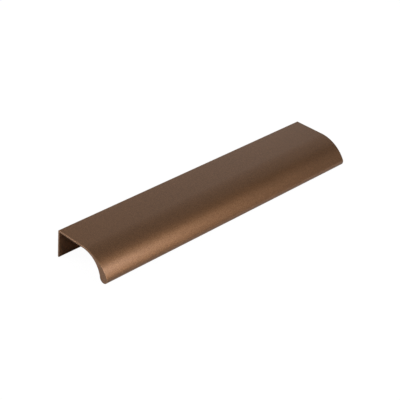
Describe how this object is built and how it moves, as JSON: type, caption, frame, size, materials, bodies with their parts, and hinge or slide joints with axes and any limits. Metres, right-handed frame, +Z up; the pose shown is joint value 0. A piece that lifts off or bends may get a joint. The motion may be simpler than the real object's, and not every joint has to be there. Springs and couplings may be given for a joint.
{
  "type": "lip pull handle",
  "caption": "Edge pull for a cabinet door or drawer: a thin screw flange and top plate that curl forward into a thickened, round-nosed finger lip, in satin bronze metal.",
  "frame": {"origin": "middle of the length and of the depth, at the lower edge of the rear flange", "axes": "+X along the handle, -Y to the front of the door where the lip is, +Z up, square to the top plate"},
  "size_m": [0.2, 0.04, 0.0173],
  "materials": {
    "satin_bronze": "satin bronze-brown metallic, fine blasted grain"
  },
  "bodies": {
    "root": {"lip_pull": "satin_bronze"}
  },
  "joints": []
}
